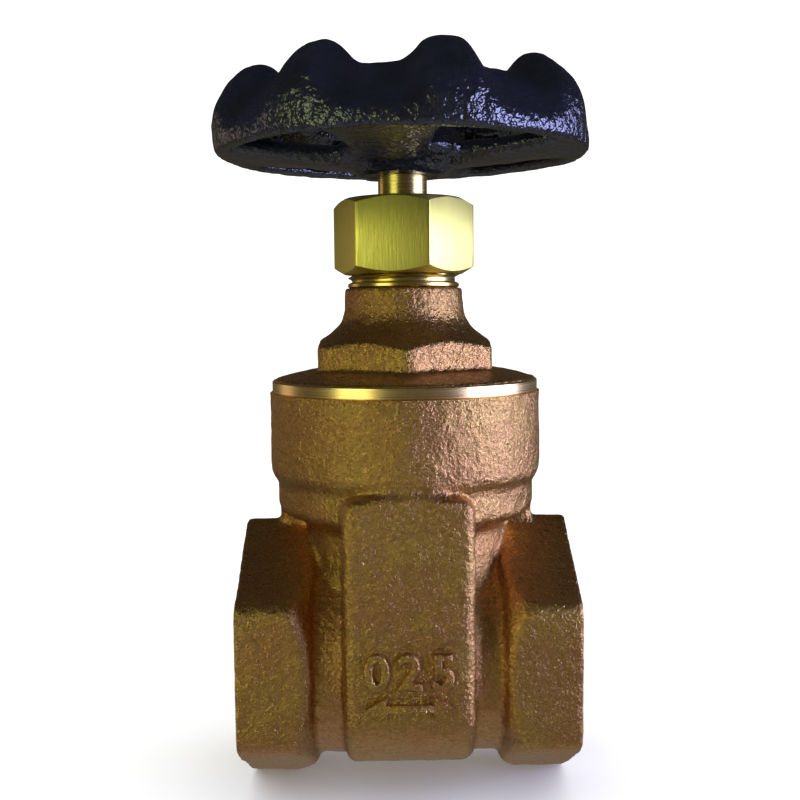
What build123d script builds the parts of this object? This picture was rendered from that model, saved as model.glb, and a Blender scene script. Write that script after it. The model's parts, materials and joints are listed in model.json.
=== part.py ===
from build123d import *
import os
from math import ceil, cos, pi, radians, tan

# One-inch bronze gate valve with a screwed bonnet and a stem that turns without rising.
# Millimetres. +X along the pipe, +Z up the stem, origin under the stem where the ends are lowest.
# Every name that ends in _h is a height above the pipe's axis.

os.makedirs("parts", exist_ok=True)

# ---------------------------------------------------------------- driving dimensions
# Pipe ends. Their ports are plain walls at the inner radius of the pipe's thread.
across_flats = 41.3
end_to_end = 57.07
end_width = 12.03
end_vertex_round = 1.8
end_edge_break = 0.7
end_cone_angle = 30.0
pipe_thread_crest = 14.85
pipe_thread_depth = 1.45
port_chamfer = 1.3
port_flare = 1.6
port_wall = 2.4
barrel_setback = 2.0

# Gate, seats and the stem's travel
bore_radius = 12.7
seat_lap = 2.5
seat_margin = 0.2
lift = 28.0
wedge_half_thickness = 6.2
wedge_taper = 3.0
seat_gap = 0.06
gate_wall = 3.4
gate_side_clearance = 0.2
pocket_clearance = 1.0
ear_reach = 2.6
ear_half_width = 2.0
ear_half_height = 7.0
ear_clearance = 0.3
seat_wall = 4.1
gate_margin = 1.0
gate_boss_height = 8.8
gate_boss_wall = 0.6
gate_thread_air = 0.17

# Castings
block_wall = 8.0
block_round = 1.5
belly_centre_h = -4.0
belly_depth = 14.9
neck_wall = 2.1
neck_core_wall = 1.4
ring_wall = 3.35
ring_round = 1.1
neck_underside_h = 25.0
ring_underside_h = 31.0
room_foot_h = 27.0
room_clearance = 0.3

# Bonnet
bonnet_thread_depth = 1.0
bonnet_thread_pitch = 1.8
bonnet_thread_gap = 1.7
bonnet_foot_gap = 1.5
bonnet_mouth_chamfer = 0.7
bonnet_rim_edge = 2.1
bonnet_rim_rise = 1.9
rim_setback = 0.4
bonnet_across_flats = 30.06
bonnet_hex_height = 4.9
bonnet_hex_foot = 0.6
bonnet_hex_fillet = 2.0
bonnet_shoulder_drop = 1.5
bonnet_neck_height = 14.1
bonnet_neck_radius = 10.35
bonnet_neck_straight = 3.2
bonnet_swell = ((2.5, 6.6), (0.75, 8.5))
bonnet_cavity_wall = 2.9
ceiling_gap = 0.4
ceiling_thickness = 2.15
ceiling_dome = ((2.4, 1.0), (1.4, 0.0))
ceiling_dome_height = 5.2

# Stem
stem_radius = 4.32
stem_thread_lead = 3.175
stem_thread_depth = 0.92
stem_thread_crest = 1.05
stem_thread_flank = 14.5
stem_thread_runout = 1.2
stem_foot_gap = 2.9
stem_shoulder_gap = 0.3
stem_shoulder_height = 0.8
stem_clearance = 0.08
collar_radius = 7.2
collar_height = 2.75
collar_clearance = 0.05
collar_room = 0.3
stem_square = 6.7
stem_top_radius = 2.5
stem_top_pitch = 0.8
stem_top_depth = 0.4
stem_top_stand = 0.7

# Stuffing box, packing and packing nut
box_thread_crest = 8.3
box_thread_pitch = 1.2
box_thread_depth = 0.6
box_flange_radius = 9.85
box_flange_height = 0.9
box_depth = 7.1
box_floor = 3.0
box_top_gap = 0.7
nut_thread_crest = 10.0
nut_thread_depth = 0.85
nut_thread_pitch = 1.35
packing_radius = 6.1
packing_height = 2.6
packing_count = 3
gland_flange = 1.1
packing_nut_across_flats = 21.74
packing_nut_height = 13.1
packing_nut_roof = 3.0
packing_nut_turn = -10.4
nut_gap = 2.4

# Handwheel and what holds it
wheel_gap = 4.0
wheel_radius = 33.2
wheel_rim_drop = 3.4
wheel_valley_rise = 14.4
wheel_lobe_rise = 18.0
wheel_wall = 2.6
wheel_hollow = 6.4
wheel_shoulder_rise = 8.0
wheel_lobe_foot = 5.0
wheel_section = ((0.6, 0.0), (0.0, 4.0), (1.6, 7.6))
wheel_crown = ((4.9, 0.5), (7.6, 0.0), (9.8, 1.4))
wheel_inner_wall = (11.9, 12.4)
web_thickness = 3.2
web_drop = 1.4
lobe_count = 8
lobe_radius = 8.1
spoke_count = 4
spoke_angle = 44.0
hub_radius = 8.4
hub_height = 11.0
hub_flare = 1.2
wheel_turn = 14.5
disc_radius = 10.5
disc_thickness = 0.8
washer_radius = 5.2
washer_thickness = 0.9
wheel_nut_across_flats = 8.0
wheel_nut_height = 4.0

# Fits, broken edges, and how much of a pitch a tooth takes at its root and at its crest
thread_clearance = 0.06
thread_runout = 0.8
slip = 0.05
edge_break = 0.3
cut_past = 0.01
tooth_root_share = 0.84
tooth_crest_share = 0.08

# ---------------------------------------------------------------- sizes that follow
hex_corner = across_flats / 2 / cos(pi / 6)
hex_drop = hex_corner - end_vertex_round * (1 / cos(pi / 6) - 1)
axis_z = hex_drop
half_length = end_to_end / 2

disc_reach = bore_radius + seat_lap
pocket_radius = disc_reach + pocket_clearance
taper_slope = tan(radians(wedge_taper))
gate_half_width = wedge_half_thickness + disc_reach * taper_slope + gate_side_clearance
block_half_width = gate_half_width + gate_wall
block_half_depth = pocket_radius + block_wall
port_floor_x = gate_half_width + seat_wall
ear_tip = disc_reach + ear_reach
barrel_radius = pipe_thread_crest + pipe_thread_depth + port_wall

bonnet_thread_root = ear_tip + bonnet_thread_gap
bonnet_thread_crest = bonnet_thread_root + bonnet_thread_depth
ring_radius = bonnet_thread_crest + ring_wall
neck_radius = bonnet_thread_crest + neck_wall
neck_core_radius = pocket_radius + neck_core_wall
bonnet_rim_radius = ring_radius - rim_setback

boss_top_h = disc_reach + gate_boss_height
ceiling_h = boss_top_h + lift + ceiling_gap
collar_h = ceiling_h + ceiling_thickness
box_floor_h = collar_h + collar_height + collar_clearance
box_flange_h = box_floor_h + box_depth
bonnet_hex_h = box_flange_h - bonnet_neck_height
bonnet_rim_h = bonnet_hex_h - bonnet_rim_rise - bonnet_rim_edge
bonnet_foot_h = ear_half_height + bonnet_foot_gap + lift
bonnet_cavity_radius = bonnet_thread_root - bonnet_cavity_wall

packing_h = box_floor_h + box_floor
gland_h = packing_h + packing_count * packing_height
nut_foot_h = box_flange_h + nut_gap
nut_top_h = nut_foot_h + packing_nut_height
nut_roof_h = nut_top_h - packing_nut_roof
box_top_h = nut_roof_h - gland_flange - box_top_gap

hub_h = nut_top_h + wheel_gap
rim_h = hub_h + wheel_rim_drop
hub_top_h = hub_h + hub_height
square_top_h = hub_top_h - edge_break
washer_h = hub_top_h + disc_thickness
wheel_nut_h = washer_h + washer_thickness
wheel_nut_top_h = wheel_nut_h + wheel_nut_height
stem_top_h = wheel_nut_top_h + stem_top_stand
stem_foot_h = bore_radius + stem_foot_gap
screw_end_h = ceiling_h - stem_shoulder_gap
stem_core = stem_radius - stem_thread_depth
stem_bore = stem_radius + stem_clearance

# ---------------------------------------------------------------- shared planes and helpers
section = Plane(origin=(0, 0, axis_z), x_dir=(1, 0, 0), z_dir=(0, -1, 0))
pipe_axis = Axis((0, 0, axis_z), (1, 0, 0))


def level(height):
    """The horizontal plane at a height above the pipe's axis."""
    return Plane.XY.offset(axis_z + height)


def upright(x):
    """The plane across the pipe at a place along it, seen from its end."""
    return Plane(origin=(x, 0, axis_z), x_dir=(0, 1, 0), z_dir=(1, 0, 0))


def gate_outline(half_thickness):
    """The gate's wedge seen from the side, thicker at its top, for a sketch on the section."""
    reach = disc_reach + gate_margin
    low_x = half_thickness - reach * taper_slope
    high_x = half_thickness + reach * taper_slope
    with BuildSketch() as outline:
        with BuildLine():
            Polyline((-low_x, -reach), (low_x, -reach), (high_x, reach), (-high_x, reach), close=True)
        make_face()
    return outline.sketch


def ring_of(inner, outer, low, high):
    """A plain ring about the stem, between two heights."""
    with BuildPart() as ring:
        with BuildSketch(level(low)):
            Circle(outer)
            Circle(inner, mode=Mode.SUBTRACT)
        extrude(amount=high - low)
    return ring.part


def gate_screw(low, high, grow=0.0):
    """The stem's left-hand ridge between two heights, grown when it is to be cut from the gate."""
    foot = Vector(0, 0, axis_z + low)
    half_crest = stem_thread_crest / 2 + grow
    half_root = half_crest + stem_thread_depth * tan(radians(stem_thread_flank))
    buried = stem_thread_depth / 4
    with BuildPart() as ridge:
        with BuildLine() as path:
            Helix(stem_thread_lead, high - low, stem_core + grow, center=foot, lefthand=True)
        start = path.line @ 0
        with BuildSketch(Plane(origin=start, x_dir=start - foot, z_dir=path.line % 0)):
            with BuildLine():
                Polyline(
                    (-buried, -half_root),
                    (0, -half_root),
                    (stem_thread_depth, -half_crest),
                    (stem_thread_depth, half_crest),
                    (0, half_root),
                    (-buried, half_root),
                    close=True,
                )
            make_face()
        sweep(path=path.line, is_frenet=True)
    return ridge.part


def teeth(radius, depth, pitch, low, high):
    """Points of a ring-shaped thread, tooth by tooth from low to high, for a turned profile."""
    half_root = pitch * tooth_root_share / 2
    half_crest = pitch * tooth_crest_share / 2
    points = []
    for index in range(int((high - low) / pitch)):
        middle = low + (index + 0.5) * pitch
        points.append((radius, middle - half_root))
        points.append((radius + depth, middle - half_crest))
        points.append((radius + depth, middle + half_crest))
        points.append((radius, middle + half_root))
    return points


def hexagon_prism(flats, low, high, turn, chamfer_radius):
    """A hexagonal prism about the stem, its corners cut by thirty-degree cones."""
    corner = flats / 2 / cos(pi / 6)
    drop = (corner - chamfer_radius) * tan(radians(30))
    with BuildPart() as prism:
        with BuildSketch(section):
            with BuildLine():
                Polyline(
                    (0, low),
                    (chamfer_radius, low),
                    (corner, low + drop),
                    (corner, high - drop),
                    (chamfer_radius, high),
                    (0, high),
                    close=True,
                )
            make_face()
        revolve(axis=Axis.Z)
        with BuildSketch(level(low)):
            RegularPolygon(corner, 6, rotation=turn)
        extrude(amount=high - low, mode=Mode.INTERSECT)
    return prism.part


# ---------------------------------------------------------------- body
end_inner_x = half_length - end_width
end_cone_depth = (hex_corner - across_flats / 2) * tan(radians(end_cone_angle))

with BuildPart() as hex_ends:
    with BuildSketch(section):
        for side in (-1, 1):
            with BuildLine():
                Polyline(
                    (side * end_inner_x, 0),
                    (side * end_inner_x, across_flats / 2),
                    (side * (end_inner_x + end_cone_depth), hex_corner),
                    (side * (half_length - end_edge_break), hex_corner),
                    (side * half_length, hex_corner - 2 * end_edge_break),
                    (side * half_length, 0),
                    close=True,
                )
            make_face()
    revolve(axis=pipe_axis)
    with BuildSketch(upright(-half_length)) as end_outline:
        RegularPolygon(hex_corner, 6, rotation=30)
        fillet(end_outline.vertices(), end_vertex_round)
    extrude(amount=end_to_end, mode=Mode.INTERSECT)

with BuildPart() as gate_block:
    with BuildSketch(upright(-block_half_width)) as block_outline:
        with Locations((0, belly_centre_h)):
            Ellipse(block_half_depth, belly_depth)
            Rectangle(
                2 * block_half_depth,
                ring_underside_h - belly_centre_h,
                align=(Align.CENTER, Align.MIN),
            )
        fillet(block_outline.vertices().group_by(Axis.Z)[-1], block_round)
    extrude(amount=2 * block_half_width)
    fillet(gate_block.faces().filter_by(Axis.X).edges(), block_round)

with BuildPart() as collar_casting:
    with BuildSketch(section):
        with BuildLine():
            Polyline(
                (0, 0),
                (neck_core_radius, 0),
                (neck_core_radius, neck_underside_h),
                (neck_radius, neck_underside_h),
                (neck_radius, ring_underside_h),
                (ring_radius, ring_underside_h),
                (ring_radius, bonnet_rim_h),
                (0, bonnet_rim_h),
                close=True,
            )
        make_face()
    revolve(axis=Axis.Z)
    ring_edges = collar_casting.edges().filter_by(GeomType.CIRCLE)
    outer_edges = ring_edges.filter_by(lambda edge: edge.radius > neck_radius + cut_past)
    fillet(outer_edges.sort_by(Axis.Z)[0], ring_round)

# The gate's pocket: an upright slot with a round foot, two seats left standing in it and two
# grooves that guide the gate's ears.
with BuildPart() as seats:
    for side in (-1, 1):
        with BuildSketch(Plane.YZ.offset(side * (gate_half_width + cut_past))):
            with Locations((0, axis_z)):
                Circle(disc_reach + seat_margin)
                Circle(bore_radius, mode=Mode.SUBTRACT)
        extrude(amount=-side * wedge_half_thickness)
    with BuildSketch(section):
        add(gate_outline(wedge_half_thickness + seat_gap))
    extrude(amount=pocket_radius, both=True, mode=Mode.SUBTRACT)

with BuildPart() as pocket:
    with BuildSketch(upright(-gate_half_width)):
        Circle(pocket_radius)
        Rectangle(2 * pocket_radius, ring_underside_h, align=(Align.CENTER, Align.MIN))
    extrude(amount=2 * gate_half_width)
    add(seats.part, mode=Mode.SUBTRACT)
    groove_width = 2 * (ear_half_width + ear_clearance)
    groove_foot_h = -ear_half_height - ear_clearance
    with BuildSketch(level(groove_foot_h)):
        Rectangle(groove_width, 2 * (ear_tip + ear_clearance))
    extrude(amount=ring_underside_h - groove_foot_h)
    with BuildSketch(level(room_foot_h)):
        Circle(bonnet_thread_root - room_clearance)
    extrude(amount=bonnet_rim_h - room_foot_h)

bonnet_low = bonnet_foot_h + thread_runout
bonnet_high = bonnet_rim_h - thread_runout

with BuildPart() as body:
    with BuildSketch(upright(-half_length + barrel_setback)):
        Circle(barrel_radius)
    extrude(amount=end_to_end - 2 * barrel_setback)
    add(hex_ends.part)
    add(gate_block.part)
    add(collar_casting.part)
    with BuildSketch(section):
        Rectangle(end_to_end + 2 * cut_past, bore_radius, align=(Align.CENTER, Align.MIN))
        for side in (-1, 1):
            with BuildLine():
                Polyline(
                    (side * port_floor_x, 0),
                    (side * port_floor_x, pipe_thread_crest),
                    (side * (half_length - port_chamfer), pipe_thread_crest),
                    (side * (half_length + cut_past), pipe_thread_crest + port_flare),
                    (side * (half_length + cut_past), 0),
                    close=True,
                )
            make_face()
    revolve(axis=pipe_axis, mode=Mode.SUBTRACT)
    add(pocket.part, mode=Mode.SUBTRACT)
    body_bore_h = bonnet_foot_h - ceiling_gap
    bonnet_bore = bonnet_thread_root + thread_clearance
    with BuildSketch(section):
        with BuildLine():
            Polyline(
                (0, body_bore_h),
                (bonnet_bore, body_bore_h),
                *teeth(bonnet_bore, bonnet_thread_depth, bonnet_thread_pitch, bonnet_low, bonnet_high),
                (bonnet_bore, bonnet_rim_h - bonnet_mouth_chamfer),
                (bonnet_bore + bonnet_mouth_chamfer, bonnet_rim_h + cut_past),
                (0, bonnet_rim_h + cut_past),
                close=True,
            )
        make_face()
    revolve(axis=Axis.Z, mode=Mode.SUBTRACT)
body.part.label = "body"
export_step(body.part, "parts/body.step")

# ---------------------------------------------------------------- bonnet
bonnet_flat = bonnet_across_flats / 2
bonnet_corner = bonnet_flat / cos(pi / 6)
hex_foot_h = bonnet_hex_h - bonnet_hex_foot
shoulder_h = bonnet_hex_h + bonnet_hex_height
with BuildPart() as bonnet_hex:
    with BuildSketch(level(hex_foot_h)):
        RegularPolygon(bonnet_corner, 6, rotation=30)
    extrude(amount=shoulder_h - hex_foot_h)
    with BuildSketch(section):
        with BuildLine():
            Polyline(
                (0, hex_foot_h),
                (bonnet_corner, hex_foot_h),
                (bonnet_corner, shoulder_h - bonnet_shoulder_drop),
                (bonnet_flat - edge_break, shoulder_h),
                (0, shoulder_h),
                close=True,
            )
        make_face()
    revolve(axis=Axis.Z, mode=Mode.INTERSECT)

box_thread_root = box_thread_crest - box_thread_depth
box_bore = box_thread_root + thread_clearance
box_low = box_floor_h + edge_break
box_high = box_flange_h - edge_break
swell_foot = (bonnet_flat - bonnet_hex_foot, shoulder_h)
swell_middle = [(bonnet_neck_radius + out, bonnet_hex_h + rise) for out, rise in bonnet_swell]
swell_top = (bonnet_neck_radius, box_flange_h - bonnet_neck_straight)
dome = [(collar_radius + out, ceiling_h - drop) for out, drop in ceiling_dome]
with BuildPart() as bonnet:
    with BuildSketch(section):
        with BuildLine():
            Polyline(
                (0, bonnet_foot_h),
                (bonnet_thread_root, bonnet_foot_h),
                *teeth(
                    bonnet_thread_root,
                    bonnet_thread_depth,
                    bonnet_thread_pitch,
                    bonnet_low,
                    bonnet_high,
                ),
                (bonnet_thread_root, bonnet_rim_h),
                (bonnet_rim_radius, bonnet_rim_h),
                (bonnet_rim_radius, bonnet_rim_h + bonnet_rim_edge - edge_break),
                (bonnet_rim_radius - edge_break, bonnet_rim_h + bonnet_rim_edge),
                (bonnet_flat + bonnet_hex_fillet, bonnet_hex_h - edge_break),
                (bonnet_flat - bonnet_hex_foot, bonnet_hex_h),
                swell_foot,
            )
            Spline(swell_foot, *swell_middle, swell_top)
            Polyline(
                swell_top,
                (bonnet_neck_radius, box_flange_h - edge_break),
                (bonnet_neck_radius - edge_break, box_flange_h),
                (0, box_flange_h),
                (0, bonnet_foot_h),
            )
        make_face()
    revolve(axis=Axis.Z)
    add(bonnet_hex.part)
    with BuildSketch(section):
        with BuildLine():
            Polyline(
                (0, bonnet_foot_h - cut_past),
                (bonnet_cavity_radius, bonnet_foot_h - cut_past),
                (bonnet_cavity_radius, ceiling_h - ceiling_dome_height),
                *dome,
                (stem_bore, ceiling_h),
                (stem_bore, collar_h),
                (collar_radius + collar_room, collar_h),
                (collar_radius + collar_room, box_floor_h),
                (box_bore, box_floor_h),
                *teeth(box_bore, box_thread_depth, box_thread_pitch, box_low, box_high),
                (box_bore, box_flange_h + cut_past),
                (0, box_flange_h + cut_past),
                close=True,
            )
        make_face()
    revolve(axis=Axis.Z, mode=Mode.SUBTRACT)
bonnet.part.label = "bonnet"
export_step(bonnet.part, "parts/bonnet.step")

# ---------------------------------------------------------------- stuffing box
nut_thread_root = nut_thread_crest - nut_thread_depth
box_shoulder_h = box_flange_h + box_flange_height
nut_low = box_shoulder_h + thread_runout
nut_high = box_top_h - edge_break
with BuildPart() as stuffing_box:
    with BuildSketch(section):
        with BuildLine():
            Polyline(
                (stem_bore, box_floor_h),
                (box_thread_root, box_floor_h),
                *teeth(box_thread_root, box_thread_depth, box_thread_pitch, box_low, box_high),
                (box_thread_root, box_flange_h),
                (box_flange_radius, box_flange_h),
                (box_flange_radius - edge_break, box_shoulder_h),
                (nut_thread_root, box_shoulder_h + edge_break),
                *teeth(nut_thread_root, nut_thread_depth, nut_thread_pitch, nut_low, nut_high),
                (nut_thread_root, nut_high),
                (nut_thread_root - edge_break, box_top_h),
                (packing_radius + slip, box_top_h),
                (packing_radius + slip, packing_h),
                (stem_bore, packing_h),
                close=True,
            )
        make_face()
    revolve(axis=Axis.Z)
stuffing_box.part.label = "stuffing_box"
export_step(stuffing_box.part, "parts/stuffing_box.step")

# ---------------------------------------------------------------- packing and gland
for number in range(1, packing_count + 1):
    ring_top_h = packing_h + number * packing_height
    packing = ring_of(stem_radius + slip, packing_radius, ring_top_h - packing_height, ring_top_h)
    packing.label = f"packing_ring_{number}"
    export_step(packing, f"parts/packing_ring_{number}.step")

gland_flange_h = nut_roof_h - gland_flange
with BuildPart() as gland:
    with BuildSketch(section):
        with BuildLine():
            Polyline(
                (stem_bore, gland_h),
                (packing_radius - slip, gland_h),
                (packing_radius - slip, gland_flange_h),
                (nut_thread_root - edge_break, gland_flange_h),
                (nut_thread_root - edge_break, nut_roof_h),
                (stem_bore, nut_roof_h),
                close=True,
            )
        make_face()
    revolve(axis=Axis.Z)
gland.part.label = "packing_gland"
export_step(gland.part, "parts/packing_gland.step")

# ---------------------------------------------------------------- packing nut
nut_bore = nut_thread_root + thread_clearance
nut_mouth_h = nut_low + ceil((nut_foot_h - nut_low) / nut_thread_pitch) * nut_thread_pitch
nut_chamfer = nut_thread_crest + thread_clearance + edge_break
nut_stem_hole = stem_bore + stem_clearance
with BuildPart() as packing_nut:
    add(hexagon_prism(packing_nut_across_flats, nut_foot_h, nut_top_h, packing_nut_turn, nut_chamfer))
    with BuildSketch(section):
        with BuildLine():
            Polyline(
                (0, nut_foot_h - cut_past),
                (nut_bore + nut_thread_depth, nut_foot_h - cut_past),
                (nut_bore + nut_thread_depth, nut_mouth_h - stem_clearance),
                (nut_bore, nut_mouth_h),
                *teeth(nut_bore, nut_thread_depth, nut_thread_pitch, nut_mouth_h, nut_high),
                (nut_bore, nut_roof_h),
                (nut_stem_hole, nut_roof_h),
                (nut_stem_hole, nut_top_h - edge_break),
                (nut_stem_hole + edge_break, nut_top_h + cut_past),
                (0, nut_top_h + cut_past),
                close=True,
            )
        make_face()
    revolve(axis=Axis.Z, mode=Mode.SUBTRACT)
packing_nut.part.label = "packing_nut"
export_step(packing_nut.part, "parts/packing_nut.step")

# ---------------------------------------------------------------- stem
top_low = washer_h + edge_break
top_high = stem_top_h - edge_break
stem_top_root = stem_top_radius - stem_top_depth
collar_foot_h = collar_h + collar_clearance
ridge_foot_h = stem_foot_h + stem_thread_runout
with BuildPart() as stem:
    with BuildSketch(section):
        with BuildLine():
            Polyline(
                (0, stem_foot_h),
                (stem_core - edge_break, stem_foot_h),
                (stem_core, stem_foot_h + edge_break),
                (stem_core, screw_end_h),
                (stem_radius, screw_end_h + stem_shoulder_height),
                (stem_radius, collar_foot_h),
                (collar_radius, collar_foot_h),
                (collar_radius, collar_h + collar_height),
                (stem_radius, collar_h + collar_height),
                (stem_radius, square_top_h),
                (stem_top_root, square_top_h),
                *teeth(stem_top_root, stem_top_depth, stem_top_pitch, top_low, top_high),
                (stem_top_root, top_high),
                (stem_top_root - edge_break, stem_top_h),
                (0, stem_top_h),
                close=True,
            )
        make_face()
    revolve(axis=Axis.Z)
    with BuildSketch(level(hub_h)):
        Circle(collar_radius)
        Rectangle(stem_square, stem_square, rotation=wheel_turn, mode=Mode.SUBTRACT)
    extrude(amount=square_top_h - hub_h, mode=Mode.SUBTRACT)
    add(gate_screw(ridge_foot_h, screw_end_h - stem_thread_runout))
stem.part.label = "stem"
export_step(stem.part, "parts/stem.step")

# ---------------------------------------------------------------- wedge
boss_foot_h = disc_reach - gate_boss_height / 2
stem_room_h = stem_foot_h - gate_margin
with BuildPart() as wedge:
    with BuildSketch(upright(-gate_half_width)):
        Circle(disc_reach)
    extrude(amount=2 * gate_half_width)
    with BuildSketch(section):
        add(gate_outline(wedge_half_thickness))
    extrude(amount=disc_reach + gate_margin, both=True, mode=Mode.INTERSECT)
    with BuildSketch(level(boss_foot_h)):
        Circle(wedge_half_thickness + gate_boss_wall)
    extrude(amount=boss_top_h - boss_foot_h)
    with BuildSketch(level(-ear_half_height)):
        Rectangle(2 * ear_half_width, 2 * ear_tip)
    extrude(amount=2 * ear_half_height)
    with BuildSketch(level(stem_foot_h - lift - gate_boss_wall)):
        Circle(stem_radius + gate_thread_air)
    extrude(amount=lift + gate_boss_wall, mode=Mode.SUBTRACT)
    with BuildSketch(level(stem_room_h)):
        Circle(stem_core + gate_thread_air)
    extrude(amount=boss_top_h - stem_room_h, mode=Mode.SUBTRACT)
    groove_low_h = ridge_foot_h - stem_thread_lead
    groove_high_h = boss_top_h + stem_thread_lead
    add(gate_screw(groove_low_h, groove_high_h, gate_thread_air), mode=Mode.SUBTRACT)
wedge.part.label = "wedge"
export_step(wedge.part, "parts/wedge.step")

# ---------------------------------------------------------------- handwheel
valley_h = hub_h + wheel_valley_rise
lobe_h = hub_h + wheel_lobe_rise
lobe_circle = wheel_radius - lobe_radius + edge_break
lobe_foot_h = rim_h + wheel_lobe_foot
rim_inner = wheel_radius - wheel_wall
inner_high, inner_low = wheel_inner_wall
rim_outside = [(wheel_radius - inset, rim_h + rise) for inset, rise in wheel_section]
rim_crown = [(wheel_radius - inset, valley_h - drop) for inset, drop in wheel_crown]
with BuildPart() as handwheel:
    with BuildSketch(section):
        with BuildLine():
            Polyline(
                (0, hub_h),
                (hub_radius, hub_h),
                (hub_radius + hub_flare, hub_h + hub_flare),
                (rim_inner - web_drop, rim_h + edge_break),
                (rim_inner, rim_h),
                *rim_outside,
                *rim_crown,
                (wheel_radius - inner_high, rim_h + wheel_shoulder_rise),
                (wheel_radius - inner_low, rim_h + web_thickness),
                (hub_radius + web_thickness, hub_h + web_drop + web_thickness),
                (hub_radius + web_drop, hub_top_h - hub_flare),
                (hub_radius, hub_top_h),
                (0, hub_top_h),
                close=True,
            )
        make_face()
    revolve(axis=Axis.Z)
    for index in range(lobe_count):
        turn = wheel_turn + index * 360 / lobe_count
        lobe_place = Plane.XY.rotated((0, 0, turn))
        lobe_section = Plane(
            origin=lobe_place.from_local_coords((lobe_circle, 0, axis_z)),
            x_dir=lobe_place.x_dir,
            z_dir=-lobe_place.y_dir,
        )
        with BuildSketch(lobe_section):
            with BuildLine():
                Line((0, lobe_foot_h), (lobe_radius, lobe_foot_h))
                Line((lobe_radius, lobe_foot_h), (lobe_radius, lobe_h - lobe_radius))
                CenterArc((0, lobe_h - lobe_radius), lobe_radius, 0, 90)
                Line((0, lobe_h), (0, lobe_foot_h))
            make_face()
        revolve(axis=Axis(lobe_section.origin, (0, 0, 1)))
    opening_inner = hub_radius + web_thickness + web_drop
    opening_outer = wheel_radius - inner_low
    openings = (
        (opening_inner, opening_outer, hub_h, wheel_lobe_rise + hub_flare),
        (opening_outer - edge_break, rim_inner - hub_flare, rim_h - hub_flare, wheel_hollow + hub_flare),
    )
    half_open = (360 / spoke_count - spoke_angle) / 2
    for inner, outer, low, depth in openings:
        for index in range(spoke_count):
            middle = wheel_turn + 180 / lobe_count + index * 360 / spoke_count
            with BuildSketch(level(low)):
                with BuildLine():
                    CenterArc((0, 0), outer, middle - half_open, 2 * half_open)
                    CenterArc((0, 0), inner, middle - half_open, 2 * half_open)
                    for edge_angle in (middle - half_open, middle + half_open):
                        Line(
                            Vector(inner, 0).rotate(Axis.Z, edge_angle),
                            Vector(outer, 0).rotate(Axis.Z, edge_angle),
                        )
                make_face()
            extrude(amount=depth, mode=Mode.SUBTRACT)
    square_hole = stem_square + 2 * slip
    with BuildSketch(level(hub_h - cut_past)):
        Circle(stem_radius + slip)
        Rectangle(square_hole, square_hole, rotation=wheel_turn, mode=Mode.INTERSECT)
    extrude(amount=hub_height + 2 * cut_past, mode=Mode.SUBTRACT)
handwheel.part.label = "handwheel"
export_step(handwheel.part, "parts/handwheel.step")

# ---------------------------------------------------------------- wheel fastening
disc = ring_of(stem_top_radius + seat_margin, disc_radius, hub_top_h, washer_h)
disc.label = "identification_disc"
export_step(disc, "parts/identification_disc.step")

washer = ring_of(stem_top_radius + seat_margin, washer_radius, washer_h, wheel_nut_h)
washer.label = "wheel_washer"
export_step(washer, "parts/wheel_washer.step")

nut_circle = wheel_nut_across_flats / 2 - thread_clearance
nut_hole = stem_top_root + thread_clearance
nut_hole_root = nut_hole + stem_top_depth
hole_low = top_low + ceil((wheel_nut_h - top_low) / stem_top_pitch) * stem_top_pitch
hole_teeth = teeth(nut_hole, stem_top_depth, stem_top_pitch, hole_low, wheel_nut_top_h)
hole_end_h = hole_teeth[-1][1]
with BuildPart() as wheel_nut:
    add(hexagon_prism(wheel_nut_across_flats, wheel_nut_h, wheel_nut_top_h, wheel_turn, nut_circle))
    with BuildSketch(section):
        with BuildLine():
            Polyline(
                (0, wheel_nut_h - cut_past),
                (nut_hole_root, wheel_nut_h - cut_past),
                (nut_hole_root, hole_low - slip),
                (nut_hole, hole_low),
                *hole_teeth,
                (nut_hole, hole_end_h + slip),
                (nut_hole_root, hole_end_h + 2 * slip),
                (nut_hole_root, wheel_nut_top_h + cut_past),
                (0, wheel_nut_top_h + cut_past),
                close=True,
            )
        make_face()
    revolve(axis=Axis.Z, mode=Mode.SUBTRACT)
wheel_nut.part.label = "wheel_nut"
export_step(wheel_nut.part, "parts/wheel_nut.step")
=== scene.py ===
"""A one-inch bronze gate valve: its visible pieces, finishes, light and camera.

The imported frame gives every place. Shapes are worked out in millimetres about the stem's axis,
with heights counted from the pipe's axis, and are put into metres in the row's frame at the end.
"""
from __future__ import annotations

import json
import logging
import math
from collections.abc import Callable, Sequence
from dataclasses import dataclass, field
from enum import Enum

import bmesh
import bpy
import numpy as np
from mathutils import Matrix, Vector


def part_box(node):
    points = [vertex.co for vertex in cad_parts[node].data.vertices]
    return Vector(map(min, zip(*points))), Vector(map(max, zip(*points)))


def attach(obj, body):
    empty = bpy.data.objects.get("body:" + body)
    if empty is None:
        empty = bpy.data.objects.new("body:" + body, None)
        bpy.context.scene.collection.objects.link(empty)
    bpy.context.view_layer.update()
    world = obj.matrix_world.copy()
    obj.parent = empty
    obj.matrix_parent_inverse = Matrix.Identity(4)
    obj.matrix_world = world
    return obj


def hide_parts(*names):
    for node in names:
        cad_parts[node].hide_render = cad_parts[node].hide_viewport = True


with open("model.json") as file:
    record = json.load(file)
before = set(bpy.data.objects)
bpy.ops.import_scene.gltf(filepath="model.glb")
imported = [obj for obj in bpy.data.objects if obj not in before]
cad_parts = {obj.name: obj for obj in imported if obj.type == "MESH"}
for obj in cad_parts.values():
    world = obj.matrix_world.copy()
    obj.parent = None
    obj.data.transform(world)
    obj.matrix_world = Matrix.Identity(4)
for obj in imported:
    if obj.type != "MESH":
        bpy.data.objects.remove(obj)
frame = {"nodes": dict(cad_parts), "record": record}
log = logging.getLogger("gate_valve")

MM = 0.001


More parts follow.
